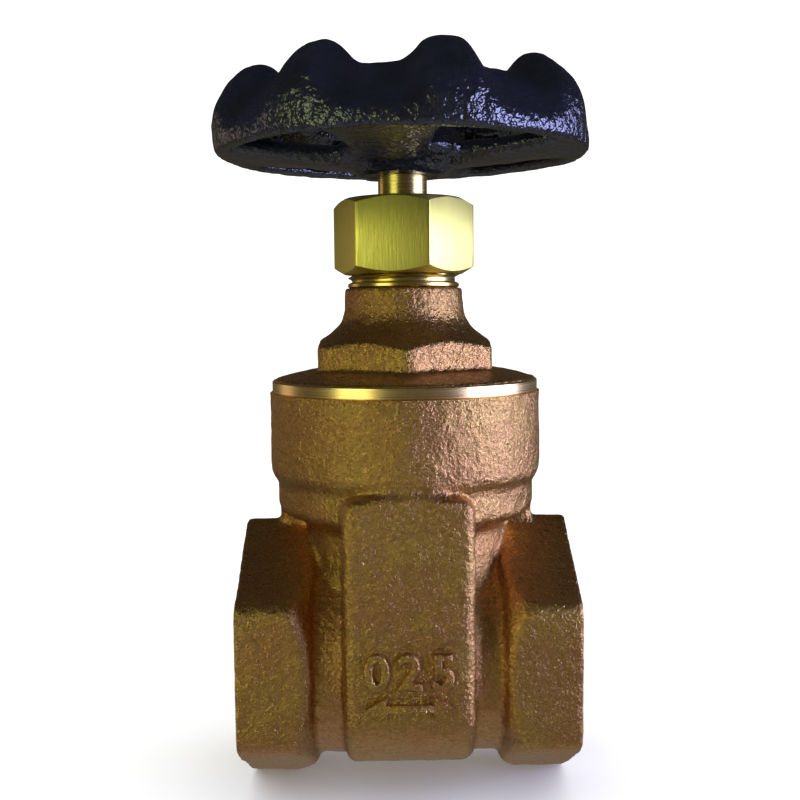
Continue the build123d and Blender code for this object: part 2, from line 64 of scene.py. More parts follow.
# ------------------------------------------------------------------ geometry helpers
@dataclass
class Shell:
    """A closed surface: its points in millimetres and its faces as lists of point numbers."""

    points: np.ndarray
    faces: list[list[int]]

    def joined(self, other: "Shell") -> "Shell":
        """Both shells as one, each keeping its own faces."""
        offset = len(self.points)
        moved = [[index + offset for index in face] for face in other.faces]
        return Shell(np.vstack([self.points, other.points]), self.faces + moved)


def lattice(rows: int, columns: int, loop_rows: bool) -> np.ndarray:
    """Quads of a grid whose columns close on themselves.

    Args:
        rows: number of rings.
        columns: points in each ring.
        loop_rows: whether the last ring joins the first.

    Returns:
        An array of four point numbers per face: (i, j), (i, j+1), (i+1, j+1), (i+1, j).
    """
    last = rows if loop_rows else rows - 1
    i, j = np.meshgrid(np.arange(last), np.arange(columns), indexing="ij")
    below, above = i * columns, ((i + 1) % rows) * columns
    after = (j + 1) % columns
    return np.stack([below + j, below + after, above + after, above + j], axis=-1).reshape(-1, 4)


def skin(rings: np.ndarray, looped: bool = False) -> Shell:
    """A tube through rings of points, closed by a fan at each end unless it loops.

    Args:
        rings: array of shape (rings, points in a ring, 3).
        looped: whether the tube closes on itself like a torus.

    Returns:
        The closed shell.
    """
    rows, columns = rings.shape[:2]
    points = rings.reshape(-1, 3)
    faces = lattice(rows, columns, looped).tolist()
    if not looped:
        ends = np.stack([rings[0].mean(axis=0), rings[-1].mean(axis=0)])
        points = np.vstack([points, ends])
        first, second = rows * columns, rows * columns + 1
        around = np.arange(columns)
        after = (around + 1) % columns
        top = (rows - 1) * columns
        faces += np.stack([after, around, np.full(columns, first)], axis=-1).tolist()
        faces += np.stack([top + around, top + after, np.full(columns, second)], axis=-1).tolist()
    return Shell(points, faces)


def turned(profile: Sequence[tuple[float, float]], segments: int = 128, looped: bool = False) -> Shell:
    """A turned shape about the stem's axis.

    Each profile point (radius r, height h) becomes the circle (r cos a, r sin a, h).
    """
    outline = np.array(profile, float)
    angle = np.linspace(0, 2 * math.pi, segments, endpoint=False)
    radius, height = outline[:, :1], outline[:, 1:]
    rings = np.stack(
        [radius * np.cos(angle), radius * np.sin(angle), height + 0 * angle], axis=-1
    )
    return skin(rings, looped)


def onto_pipe(shell: Shell) -> Shell:
    """The shell turned so that its own axis lies along the pipe: (x, y, z) becomes (z, x, y)."""
    return Shell(shell.points[:, [2, 0, 1]], shell.faces)


def smooth_through(points: Sequence[tuple[float, float]], count: int) -> np.ndarray:
    """A closed curve through points, evenly sampled: the uniform Catmull-Rom cubic.

    Args:
        points: the points that the curve goes through, in order.
        count: samples between each pair of points.

    Returns:
        Array of shape (len(points) * count, 2).
    """
    p1 = np.array(points, float)
    p0, p2, p3 = np.roll(p1, 1, 0), np.roll(p1, -1, 0), np.roll(p1, -2, 0)
    t = np.linspace(0, 1, count, endpoint=False)[None, :, None]
    p0, p1, p2, p3 = (p[:, None, :] for p in (p0, p1, p2, p3))
    curve = 0.5 * (
        2 * p1
        + (p2 - p0) * t
        + (2 * p0 - 5 * p1 + 4 * p2 - p3) * t**2
        + (3 * p1 - p0 - 3 * p2 + p3) * t**3
    )
    return curve.reshape(-1, 2)


def hexagon_radius(angle: np.ndarray, flats: float, turn: float, softness: float) -> np.ndarray:
    """Distance from the centre to a hexagon's side at each angle, its corners rounded.

    The side stands at (flats / 2) / cos(angle from the side's middle), and the corner is cut
    by a soft minimum with a circle a little inside it.
    """
    sixth = math.pi / 3
    from_middle = (angle - turn + sixth / 2) % sixth - sixth / 2
    side = flats / 2 / np.cos(from_middle)
    corner = flats / 2 / math.cos(sixth / 2) - 0.1547 * softness
    return soft_min(side, np.full_like(side, corner), softness * 0.2)


def soft_min(a: np.ndarray, b: np.ndarray, width: float) -> np.ndarray:
    """The smaller of two values, blended over a width by a quadratic."""
    near = np.clip(0.5 + 0.5 * (b - a) / width, 0, 1)
    return b + (a - b) * near - width * near * (1 - near)


def build(name: str, shell: Shell, lift: float) -> bpy.types.Object:
    """Puts a shell into a new object, in metres, with its faces turned outwards.

    Args:
        name: the piece's name.
        shell: points in millimetres about the pipe's axis.
        lift: height of the pipe's axis above the row's origin, in millimetres.

    Returns:
        The object, at the origin and unturned.
    """
    mesh = bpy.data.meshes.new(name)
    points = (shell.points + np.array([0.0, 0.0, lift])) * MM
    mesh.from_pydata(points.tolist(), [], shell.faces)
    tidy_mesh(mesh)
    piece = bpy.data.objects.new(name, mesh)
    bpy.context.scene.collection.objects.link(piece)
    return piece


def tidy_mesh(mesh: bpy.types.Mesh, merge: float = 1e-7) -> None:
    """Merges doubled points and turns every face outwards."""
    work = bmesh.new()
    work.from_mesh(mesh)
    bmesh.ops.remove_doubles(work, verts=work.verts, dist=merge)
    bmesh.ops.recalc_face_normals(work, faces=work.faces)
    work.to_mesh(mesh)
    work.free()


def applied(piece: bpy.types.Object) -> bpy.types.Object:
    """Replaces the piece's mesh by what its modifiers make, and removes them."""
    graph = bpy.context.evaluated_depsgraph_get()
    made = bpy.data.meshes.new_from_object(piece.evaluated_get(graph))
    piece.modifiers.clear()
    piece.data = made
    return piece


def shade(piece: bpy.types.Object, degrees: float = 34.0) -> None:
    """Smooth shading with creases kept where faces meet at more than an angle."""
    mesh = piece.data
    mesh.polygons.foreach_set("use_smooth", np.ones(len(mesh.polygons), bool))
    mesh.set_sharp_from_angle(angle=math.radians(degrees))


def value_noise(points: np.ndarray, size: float, seed: int) -> np.ndarray:
    """Smooth random values between -1 and 1 in space.

    Each cell corner of a cubic lattice of the given size holds a random value, and a point takes
    the blend of its cell's eight corners by the smoothstep of its place in the cell.
    """
    table = np.random.default_rng(seed).uniform(-1, 1, 4096)
    place = points / size
    cell = np.floor(place).astype(np.int64)
    part = place - cell
    part = part * part * (3 - 2 * part)
    total = np.zeros(len(points))
    for corner in np.ndindex(2, 2, 2):
        step = np.array(corner)
        at = cell + step
        key = (at[:, 0] * 73856093) ^ (at[:, 1] * 19349663) ^ (at[:, 2] * 83492791)
        weight = np.prod(np.where(step == 1, part, 1 - part), axis=1)
        total += weight * table[key % 4096]
    return total


def roughen(piece: bpy.types.Object, layers: Sequence[tuple[float, float]], seed: int) -> None:
    """Moves each point along its normal by layered noise, as sand or thick paint leaves it.

    Args:
        piece: the piece to change.
        layers: pairs of (cell size in mm, height in mm).
        seed: first seed of the layers.
    """
    mesh = piece.data
    count = len(mesh.vertices)
    place = np.empty(count * 3)
    mesh.vertices.foreach_get("co", place)
    place = place.reshape(-1, 3)
    normal = np.empty(count * 3, np.float32)
    mesh.vertex_normals.foreach_get("vector", normal)
    normal = normal.reshape(-1, 3)
    shift = sum(
        height * value_noise(place / MM, size, seed + number)
        for number, (size, height) in enumerate(layers)
    )
    mesh.vertices.foreach_set("co", (place + normal * (shift * MM)[:, None]).ravel())
    mesh.update()


def cast(name: str, lumps: Sequence[Shell], lift: float, voxel: float, rounds: int) -> bpy.types.Object:
    """One casting from overlapping lumps: joined in voxels, then eased so that corners round.

    Args:
        name: the piece's name.
        lumps: closed shells that overlap.
        lift: height of the pipe's axis, in millimetres.
        voxel: voxel size in millimetres.
        rounds: smoothing passes, each of which rounds corners a little more.

    Returns:
        The casting.
    """
    whole = lumps[0]
    for lump in lumps[1:]:
        whole = whole.joined(lump)
    piece = build(name, whole, lift)
    remesh = piece.modifiers.new("join", "REMESH")
    remesh.mode = "VOXEL"
    remesh.voxel_size = voxel * MM
    ease = piece.modifiers.new("ease", "SMOOTH")
    ease.factor = 0.5
    ease.iterations = rounds
    return applied(piece)


def cut(piece: bpy.types.Object, tools: Sequence[Shell], lift: float) -> None:
    """Machines a casting: takes each tool's shape away, leaving the tool's finish on the cut."""
    for number, tool in enumerate(tools):
        cutter = build(f"{piece.name}_tool_{number}", tool, lift)
        cutter.data.materials.append(piece.data.materials[1])
        work = piece.modifiers.new("cut", "BOOLEAN")
        work.operation = "DIFFERENCE"
        work.solver = "EXACT"
        work.object = cutter
        work.material_mode = "TRANSFER"
        applied(piece)
        bpy.data.objects.remove(cutter, do_unlink=True)


def slab(low: tuple[float, float, float], high: tuple[float, float, float]) -> Shell:
    """A rectangular milling cut between two corners."""
    (x0, y0, z0), (x1, y1, z1) = low, high
    square = np.array([[y0, z0], [y1, z0], [y1, z1], [y0, z1]])
    rings = np.stack([np.column_stack([np.full(4, x), square]) for x in (x0, x1)])
    return skin(rings)


def softened_copy(node: str, width: float, segments: int = 2) -> bpy.types.Object:
    """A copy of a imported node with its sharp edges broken.

    Args:
        node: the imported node's name.
        width: width of the broken edge in millimetres.
        segments: faces across the broken edge.

    Returns:
        The new piece, which stands for the node.
    """
    mesh = frame["nodes"][node].data.copy()
    mesh.materials.clear()
    tidy_mesh(mesh, 2e-6)
    piece = bpy.data.objects.new(f"{node}_finished", mesh)
    bpy.context.scene.collection.objects.link(piece)
    edge = piece.modifiers.new("edge", "BEVEL")
    edge.width = width * MM
    edge.segments = segments
    edge.limit_method = "ANGLE"
    edge.angle_limit = math.radians(28)
    edge.use_clamp_overlap = True
    applied(piece)
    shade(piece)
    return piece


# ------------------------------------------------------------------ finishes
class Board:
    """Writes one material's nodes: each method adds a node and returns its output."""

    def __init__(self, name: str) -> None:
        """Starts an empty material with a Principled shader."""
        self.material = bpy.data.materials.new(name)
        self.material.use_nodes = True
        self.tree = self.material.node_tree
        self.tree.nodes.clear()
        self.shader = self.tree.nodes.new("ShaderNodeBsdfPrincipled")
        output = self.tree.nodes.new("ShaderNodeOutputMaterial")
        self.tree.links.new(self.shader.outputs["BSDF"], output.inputs["Surface"])
        self.place = self.tree.nodes.new("ShaderNodeTexCoord").outputs["Object"]

    def put(self, socket: bpy.types.NodeSocket, value: object) -> None:
        """Links a socket to an output, or sets it to a constant."""
        if isinstance(value, bpy.types.NodeSocket):
            self.tree.links.new(value, socket)
        else:
            socket.default_value = value

    def stretched(self, scale: tuple[float, float, float]) -> bpy.types.NodeSocket:
        """Object coordinates multiplied along each axis."""
        node = self.tree.nodes.new("ShaderNodeMapping")
        self.put(node.inputs["Vector"], self.place)
        node.inputs["Scale"].default_value = scale
        return node.outputs["Vector"]

    def around_stem(self) -> bpy.types.NodeSocket:
        """A coordinate that is the same all round the stem: (distance from the axis, height)."""
        split = self.tree.nodes.new("ShaderNodeSeparateXYZ")
        self.put(split.inputs[0], self.place)
        squares = [self.math("MULTIPLY", split.outputs[n], split.outputs[n]) for n in (0, 1)]
        distance = self.math("SQRT", self.math("ADD", *squares))
        join = self.tree.nodes.new("ShaderNodeCombineXYZ")
        self.put(join.inputs[0], distance)
        self.put(join.inputs[2], split.outputs[2])
        return join.outputs[0]

    def noise(
        self, grain: float, detail: float = 3.0, rough: float = 0.55, at: object = None
    ) -> bpy.types.NodeSocket:
        """Noise whose grains are about the given size in millimetres."""
        node = self.tree.nodes.new("ShaderNodeTexNoise")
        self.put(node.inputs["Vector"], at or self.place)
        node.inputs["Scale"].default_value = 1 / (grain * MM)
        node.inputs["Detail"].default_value = detail
        node.inputs["Roughness"].default_value = rough
        return node.outputs["Fac"]

    def cells(self, grain: float) -> bpy.types.NodeSocket:
        """Distance to the nearest of scattered points about a grain apart."""
        node = self.tree.nodes.new("ShaderNodeTexVoronoi")
        self.put(node.inputs["Vector"], self.place)
        node.inputs["Scale"].default_value = 1 / (grain * MM)
        return node.outputs["Distance"]

    def math(self, kind: str, a: object, b: object = 0.0) -> bpy.types.NodeSocket:
        """One arithmetic step."""
        node = self.tree.nodes.new("ShaderNodeMath")
        node.operation = kind
        self.put(node.inputs[0], a)
        self.put(node.inputs[1], b)
        return node.outputs[0]

    def spread(self, value: object, low: float, high: float, out: tuple[float, float]) -> bpy.types.NodeSocket:
        """Maps low..high of a value to out, clamped."""
        node = self.tree.nodes.new("ShaderNodeMapRange")
        self.put(node.inputs["Value"], value)
        node.inputs["From Min"].default_value = low
        node.inputs["From Max"].default_value = high
        node.inputs["To Min"].default_value = out[0]
        node.inputs["To Max"].default_value = out[1]
        return node.outputs["Result"]

    def blend(self, by: object, a: object, b: object) -> bpy.types.NodeSocket:
        """A colour between a and b."""
        node = self.tree.nodes.new("ShaderNodeMix")
        node.data_type = "RGBA"
        self.put(node.inputs["Factor"], by)
        self.put(node.inputs["A"], a)
        self.put(node.inputs["B"], b)
        return node.outputs["Result"]

    def bump(self, height: object, depth: float, strength: float = 1.0) -> None:
        """Gives the shader a bumped normal, its depth in millimetres."""
        node = self.tree.nodes.new("ShaderNodeBump")
        node.inputs["Strength"].default_value = strength
        node.inputs["Distance"].default_value = depth * MM
        self.put(node.inputs["Height"], height)
        self.put(self.shader.inputs["Normal"], node.outputs["Normal"])

    def principled(self, **values: object) -> None:
        """Sets the shader's inputs by name, with underscores for spaces."""
        for name, value in values.items():
            self.put(self.shader.inputs[name.replace("_", " ")], value)


Colour = tuple[float, float, float, float]


@dataclass(frozen=True)
class SandCastBronze:
    """Bronze as it leaves a sand mould: brown gold, granular, with bright grains."""

    name: str = "sand_cast_bronze"
    dark: Colour = (0.38, 0.20, 0.055, 1.0)
    light: Colour = (0.57, 0.34, 0.105, 1.0)
    copper: Colour = (0.56, 0.29, 0.110, 1.0)
    grain: float = 0.6
    depth: float = 0.3

    def material(self) -> bpy.types.Material:
        """Builds the material: grains of sand pressed into metal, darker between the grains."""
        board = Board(self.name)
        patches = board.noise(9.0, 3.0)
        grain = board.noise(self.grain, 3.0, 0.7)
        fine = board.noise(self.grain * 2.2, 2.0, 0.5)
        tint = board.blend(board.spread(patches, 0.38, 0.62, (0.0, 1.0)), self.light, self.copper)
        colour = board.blend(board.spread(grain, 0.3, 0.52, (0.0, 1.0)), self.dark, tint)
        height = board.math("ADD", grain, board.math("MULTIPLY", fine, 0.7))
        board.bump(height, self.depth)
        board.principled(
            Base_Color=colour,
            Metallic=1.0,
            Roughness=board.spread(grain, 0.35, 0.65, (0.38, 0.24)),
        )
        return board.material


class Direction(Enum):
    """Which way a tool's marks run on a machined face."""

    AROUND_STEM = "around the stem"
    AROUND_PIPE = "around the pipe"
    UPRIGHT = "upright"


@dataclass(frozen=True)
class MachinedBrass:
    """Brass or bronze from a lathe or a mill: bright, with fine marks along one direction."""

    name: str
    colour: Colour
    worn: Colour
    roughness: tuple[float, float]
    marks: Direction
    mark_depth: float = 0.012
    staining: float = 0.6

    def material(self) -> bpy.types.Material:
        """Builds the material."""
        board = Board(self.name)
        if self.marks is Direction.AROUND_STEM:
            at = board.around_stem()
        elif self.marks is Direction.AROUND_PIPE:
            at = board.stretched((1.0, 0.04, 0.04))
        else:
            at = board.stretched((1.0, 1.0, 0.06))
        lines = board.noise(0.22, 3.0, 0.6, at)
        broad = board.noise(1.6, 2.0, 0.5, at)
        stains = board.noise(4.5, 4.0, 0.6)
        tint = board.blend(board.spread(stains, 0.5, 0.8, (0.0, self.staining)), self.colour, self.worn)
        shaded = board.blend(board.spread(broad, 0.3, 0.7, (0.12, 0.0)), tint, self.worn)
        board.bump(lines, self.mark_depth)
        board.principled(
            Base_Color=shaded,
            Metallic=1.0,
            Roughness=board.spread(lines, 0.3, 0.7, self.roughness),
        )
        return board.material


@dataclass(frozen=True)
class GlossEnamel:
    """Thick navy enamel over cast iron: glossy, with the mould's grain showing through."""

    name: str = "navy_enamel"
    deep: Colour = (0.003, 0.0042, 0.0062, 1.0)
    thin: Colour = (0.0055, 0.0062, 0.0145, 1.0)

    def material(self) -> bpy.types.Material:
        """Builds the material."""
        board = Board(self.name)
        runs = board.noise(7.0, 2.0)
        pits = board.noise(1.1, 2.0, 0.55)
        skin_noise = board.noise(2.6, 2.0, 0.5)
        colour = board.blend(board.spread(runs, 0.35, 0.65, (0.0, 1.0)), self.deep, self.thin)
        height = board.math("ADD", pits, board.math("MULTIPLY", skin_noise, 0.8))
        board.bump(height, 0.5)
        board.principled(
            Base_Color=colour,
            Metallic=0.0,
            Roughness=board.spread(pits, 0.35, 0.65, (0.24, 0.14)),
            Specular_IOR_Level=0.85,
        )
        return board.material


@dataclass(frozen=True)
class PlainMetal:
    """A small bought-in metal part: plated steel or rolled aluminium."""

    name: str
    colour: Colour
    dull: Colour
    roughness: tuple[float, float]
    brushed: float = 0.05

    def material(self) -> bpy.types.Material:
        """Builds the material."""
        board = Board(self.name)
        lines = board.noise(0.3, 3.0, 0.6, board.stretched((1.0, self.brushed, 1.0)))
        bloom = board.noise(2.5, 4.0, 0.6)
        colour = board.blend(board.spread(bloom, 0.42, 0.7, (0.0, 1.0)), self.colour, self.dull)
        board.bump(lines, 0.01)
        board.principled(
            Base_Color=colour, Metallic=1.0, Roughness=board.spread(lines, 0.3, 0.7, self.roughness)
        )
        return board.material


@dataclass(frozen=True)
class BraidedPacking:
    """Graphite packing: dark grey, braided, slightly shiny."""

    name: str = "graphite_packing"
    dark: Colour = (0.02, 0.02, 0.022, 1.0)
    bright: Colour = (0.09, 0.09, 0.1, 1.0)

    def material(self) -> bpy.types.Material:
        """Builds the material."""
        board = Board(self.name)
        braid = board.cells(0.5)
        board.bump(braid, 0.1)
        board.principled(
            Base_Color=board.blend(board.spread(braid, 0.1, 0.6, (0.0, 1.0)), self.bright, self.dark),
            Roughness=board.spread(braid, 0.0, 0.6, (0.4, 0.65)),
        )
        return board.material


@dataclass
class Finishes:
    """Every material of the valve, made once."""

    cast_bronze: bpy.types.Material = field(init=False)
    turned_bronze: bpy.types.Material = field(init=False)
    pipe_thread: bpy.types.Material = field(init=False)
    nut_brass: bpy.types.Material = field(init=False)
    stem_brass: bpy.types.Material = field(init=False)
    enamel: bpy.types.Material = field(init=False)
    steel: bpy.types.Material = field(init=False)
    aluminium: bpy.types.Material = field(init=False)
    packing: bpy.types.Material = field(init=False)

    def __post_init__(self) -> None:
        """Builds the materials."""
        self.cast_bronze = SandCastBronze().material()
        self.turned_bronze = MachinedBrass(
            "turned_bronze", (0.86, 0.62, 0.27, 1), (0.5, 0.31, 0.13, 1), (0.22, 0.36), Direction.AROUND_STEM
        ).material()
        self.pipe_thread = MachinedBrass(
            "bored_bronze", (0.83, 0.58, 0.28, 1), (0.46, 0.29, 0.13, 1), (0.24, 0.4), Direction.AROUND_PIPE
        ).material()
        self.nut_brass = MachinedBrass(
            "milled_brass", (0.76, 0.68, 0.16, 1), (0.60, 0.46, 0.11, 1), (0.34, 0.46), Direction.UPRIGHT, 0.02, 0.25
        ).material()
        self.stem_brass = MachinedBrass(
            "turned_brass", (0.62, 0.48, 0.16, 1), (0.36, 0.23, 0.08, 1), (0.2, 0.34), Direction.AROUND_STEM
        ).material()
        self.enamel = GlossEnamel().material()
        self.steel = PlainMetal(
            "zinc_plated_steel", (0.66, 0.67, 0.69, 1), (0.5, 0.5, 0.5, 1), (0.28, 0.42)
        ).material()
        self.aluminium = PlainMetal(
            "rolled_aluminium", (0.82, 0.83, 0.84, 1), (0.66, 0.66, 0.66, 1), (0.3, 0.45), 0.03
        ).material()
        self.packing = BraidedPacking().material()


# ------------------------------------------------------------------ the valve
@dataclass
class Datum:
    """Levels and places that the sub-assemblies share, read from the frame. Millimetres."""

    pipe_height: float = field(init=False)
    half_length: float = field(init=False)
    ring_top: float = field(init=False)
    box_flange: float = field(init=False)
    hub: float = field(init=False)
    hub_top: float = field(init=False)

    def __post_init__(self) -> None:
        """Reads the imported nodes' boxes and the ports."""
        port = next(m for m in frame["record"]["mounts"] if m["name"] == "port_right")
        self.pipe_height = port["pos_m"][2] / MM
        self.half_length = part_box("body")[1][0] / MM
        self.ring_top = self.above_pipe(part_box("body")[1][2])
        self.box_flange = self.above_pipe(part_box("bonnet")[1][2])
        self.hub = self.above_pipe(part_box("handwheel")[0][2])
        self.hub_top = self.above_pipe(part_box("identification_disc")[0][2])

    def above_pipe(self, height: float) -> float:
        """A height in metres in the row's frame as millimetres above the pipe's axis."""
        return height / MM - self.pipe_height


@dataclass
class ValveBody:
    """The body casting: two hexagonal ends, the barrel, the gate's housing and the neck."""

    datum: Datum
    finishes: Finishes
    across_flats: float = 41.3
    end_shoulder: tuple[tuple[float, float], ...] = (
        (15.6, 17.8), (15.75, 18.8), (16.1, 19.8), (16.6, 20.7), (17.2, 21.4), (18.0, 22.2),
        (18.9, 23.1), (20.0, 24.3), (22.0, 27.0),
    )
    corner_softness: float = 3.2
    barrel: float = 18.7
    housing_half_width: float = 10.75
    housing_half_depth: float = 24.2
    housing_centre: float = -4.0
    housing_belly: float = 14.9
    housing_round: float = 1.9
    housing_arch: float = 1.5
    neck_core: float = 17.6
    neck_radius: float = 22.65
    ring_radius: float = 23.9
    neck_foot: float = 26.3
    ring_foot: float = 31.2
    thread_radius: float = 15.0
    thread_depth: float = 1.35
    thread_pitch: float = 25.4 / 11.5
    port_floor: float = 11.3
    bore: float = 12.7
    gate_half_width: float = 7.2
    pocket_radius: float = 16.2
    mark_height: float = 0.85
    arrow_half: float = 7.3
    arrow_height: float = -2.9

    def end(self, side: int) -> Shell:
        """One hexagonal end: radius = soft minimum of the hexagon and a curved inner shoulder."""
        shoulder = np.array(self.end_shoulder)
        along = np.concatenate([np.linspace(shoulder[0, 0], shoulder[-1, 0], 24), [24.0, 26.0]])
        along = np.append(along, self.datum.half_length + 0.12)
        angle = np.linspace(0, 2 * math.pi, 192, endpoint=False)
        hexagon = hexagon_radius(angle, self.across_flats, 0.0, self.corner_softness)[None, :]
        rise = np.interp(along, shoulder[:, 0], shoulder[:, 1])[:, None]
        radius = soft_min(hexagon + 0 * rise, rise + 0 * hexagon, 0.9)
        rings = np.stack(
            [side * along[:, None] + 0 * radius, radius * np.cos(angle), radius * np.sin(angle)],
            axis=-1,
        )
        return skin(rings)

    def housing(self) -> Shell:
        """The gate's housing: a half-ellipse belly under straight sides and an arched top.

        At x the whole outline is drawn in by r - sqrt(r^2 - d^2), d being how far x is into the
        rounded edge, and its top stands lower by the arch times (x / half width)^2.
        """
        width, round_off = self.housing_half_width, self.housing_round
        quarter = np.linspace(0, math.pi / 2, 9)
        edge = width - round_off + round_off * np.sin(quarter)
        x = np.concatenate([-edge[::-1], np.linspace(-1, 1, 9)[1:-1] * (width - round_off), edge])
        into = np.maximum(np.abs(x) - (width - round_off), 0)
        inset = (round_off - np.sqrt(np.maximum(round_off**2 - into**2, 0)))[:, None]
        depth, drop = self.housing_half_depth - inset, self.housing_belly - inset
        belly = np.linspace(math.pi, 2 * math.pi, 61)
        corner = 1.2
        top = self.ring_foot + 0.35 - self.housing_arch * (x[:, None] / width) ** 2 - inset
        turn = np.linspace(0, math.pi / 2, 7)
        right_y, right_z = depth - corner + corner * np.cos(turn), top - corner + corner * np.sin(turn)
        y = np.concatenate([depth * np.cos(belly), right_y, -right_y[:, ::-1]], axis=1)
        z = np.concatenate([self.housing_centre + drop * np.sin(belly), right_z, right_z[:, ::-1]], axis=1)
        return skin(np.stack([x[:, None] + 0 * y, y, z], axis=-1))

    def neck(self) -> Shell:
        """The round neck and the ring that takes the bonnet."""
        neck, ring, foot, rise = self.neck_radius, self.ring_radius, self.neck_foot, self.ring_foot
        return turned(
            [
                (0.01, 2.0),
                (self.neck_core, 2.0),
                (self.neck_core, foot - 3.8),
                (self.neck_core + 0.4, foot - 2.8),
                (self.neck_core + 1.5, foot - 2.0),
                (neck - 1.5, foot - 1.3),
                (neck - 0.4, foot - 0.7),
                (neck, foot + 0.1),
                (neck, rise - 0.5),
                (neck + 0.2, rise - 0.1),
                (ring - 0.55, rise + 0.5),
                (ring - 0.12, rise + 1.3),
                (ring, rise + 2.4),
                (ring, self.datum.ring_top + 1.5),
                (0.01, self.datum.ring_top + 1.5),
            ],
            160,
        )

    def saddle(self, side: int) -> Shell:
        """A small lump that fills between the neck and a hexagon's top.

        Its outline is an arc just inside the neck, closed straight across nearer the stem.
        """
        turn = np.radians(np.linspace(-6, 6, 7))
        radius = self.neck_radius - 0.15
        inner = self.end_shoulder[0][0]
        reach = radius * math.sin(turn[-1])
        x = np.concatenate([radius * np.cos(turn), [inner, inner]])
        y = np.concatenate([radius * np.sin(turn), [reach, -reach]])
        low, high = self.across_flats / 2, self.neck_foot + 1.0
        return skin(np.stack([np.column_stack([side * x, y, np.full(len(x), z)]) for z in (low, high)]))

    def port(self, side: int) -> Shell:
        """The threaded port's tool, a right-hand screw.

        radius = thread radius + (place along the port) / 32 + depth * tooth, where the tooth is a
        clipped V of the phase (place along the port - turn) / pitch, and the mouth opens in a cone.
        """
        mouth = self.datum.half_length + 0.4
        along = np.linspace(self.port_floor, mouth, 96)
        angle = np.linspace(0, 2 * math.pi, 120, endpoint=False)
        place, turn = np.meshgrid(along, angle, indexing="ij")
        phase = (place / self.thread_pitch + side * turn / (2 * math.pi)) % 1.0
        tooth = np.clip(1.25 - np.abs(phase - 0.5) * 3.2, 0, 1)
        fade = np.clip((place - self.port_floor - 0.6) / 3.0, 0, 1)
        radius = self.thread_radius + (place - self.port_floor) / 32 * 0.6 + self.thread_depth * tooth * fade
        radius = np.maximum(radius, 17.3 - (mouth - 0.4 - place) * 1.3)
        rings = np.stack([side * place, radius * np.cos(turn), radius * np.sin(turn)], axis=-1)
        return skin(rings)

    def pocket(self) -> Shell:
        """The gate's pocket: round below, straight above, between the seats."""
        angle = np.linspace(math.pi, 2 * math.pi, 49)
        top = self.ring_foot + 0.4
        y = np.concatenate([self.pocket_radius * np.cos(angle), [self.pocket_radius, -self.pocket_radius]])
        z = np.concatenate([self.pocket_radius * np.sin(angle), [top, top]])
        rings = np.stack(
            [np.column_stack([np.full(len(y), x), y, z]) for x in (-self.gate_half_width, self.gate_half_width)]
        )
        return skin(rings)

    def tools(self) -> list[Shell]:
        """Every machining cut, in order."""
        half = self.datum.half_length
        far = 40.0
        cuts = [slab((side * half, -far, -far), (side * far, far, far)) for side in (-1, 1)]
        cuts += [self.port(side) for side in (-1, 1)]
        cuts.append(onto_pipe(turned([(self.bore, -12.0), (self.bore, 12.0)], 96)))
        cuts.append(self.pocket())
        groove = 2.3
        reach = 18.1
        cuts.append(slab((-groove, -reach, -7.3), (groove, reach, self.ring_foot)))
        top = self.datum.ring_top
        bore_profile = [(19.2, 27.0), (19.2, 36.0), (20.65, 36.2), (20.65, top - 0.6), (21.4, top + 3.0)]
        cuts.append(turned(bore_profile, 128))
        cuts.append(slab((-far, -far, top), (far, far, top + 10.0)))
        return cuts

    def seats(self) -> Shell:
        """The two seats: rings whose inner faces lean with the gate, x = 6.26 + z tan 3 degrees."""
        angle = np.linspace(0, 2 * math.pi, 96, endpoint=False)
        inner, outer, root = self.bore + 0.01, 15.2, self.gate_half_width + 0.4
        lean = math.tan(math.radians(3))
        whole: Shell | None = None
        for side in (-1, 1):
            rows = [(outer, True), (inner, True), (inner, False), (outer, False)]
            rings = []
            for radius, on_face in rows:
                z = radius * np.sin(angle)
                x = 6.26 + z * lean if on_face else np.full_like(z, root)
                rings.append(np.stack([side * x, radius * np.cos(angle), z], axis=-1))
            ring = skin(np.stack(rings), looped=True)
            whole = ring if whole is None else whole.joined(ring)
        return whole

    def raised(self, curve: bpy.types.Curve, side: int, height: float) -> bpy.types.Object:
        """A flat outline made into a rounded raised mark on a face of the housing.

        Args:
            curve: the filled outline, as text or as a flat curve.
            side: -1 for the front face, 1 for the back one.
            height: where the outline's origin goes, in millimetres above the pipe's axis.

        Returns:
            The mark as a mesh object.
        """
        curve.extrude = self.mark_height * 0.45 * MM
        curve.bevel_depth = self.mark_height * 0.55 * MM
        curve.bevel_resolution = 3
        holder = bpy.data.objects.new(curve.name, curve)
        bpy.context.scene.collection.objects.link(holder)
        graph = bpy.context.evaluated_depsgraph_get()
        mesh = bpy.data.meshes.new_from_object(holder.evaluated_get(graph))
        bpy.data.objects.remove(holder, do_unlink=True)
        stand = Matrix.Rotation(math.pi / 2, 4, "X")
        spin = Matrix.Rotation(0.0 if side < 0 else math.pi, 4, "Z")
        place = Vector((0.0, side * self.housing_half_depth * MM, (self.datum.pipe_height + height) * MM))
        mesh.transform(Matrix.Translation(place) @ spin @ stand)
        tidy_mesh(mesh, 2e-6)
        mesh.materials.clear()
        mesh.materials.append(self.finishes.cast_bronze)
        piece = bpy.data.objects.new(curve.name, mesh)
        bpy.context.scene.collection.objects.link(piece)
        return piece

    def size_mark(self, side: int) -> bpy.types.Object:
        """The raised nominal size, as figures."""
        text = bpy.data.curves.new("size_mark", "FONT")
        text.body = "025"
        text.size = 7.9 * MM
        text.align_x = "CENTER"
        text.space_character = 1.34
        text.offset = -0.1 * MM
        return self.raised(text, side, 0.3)

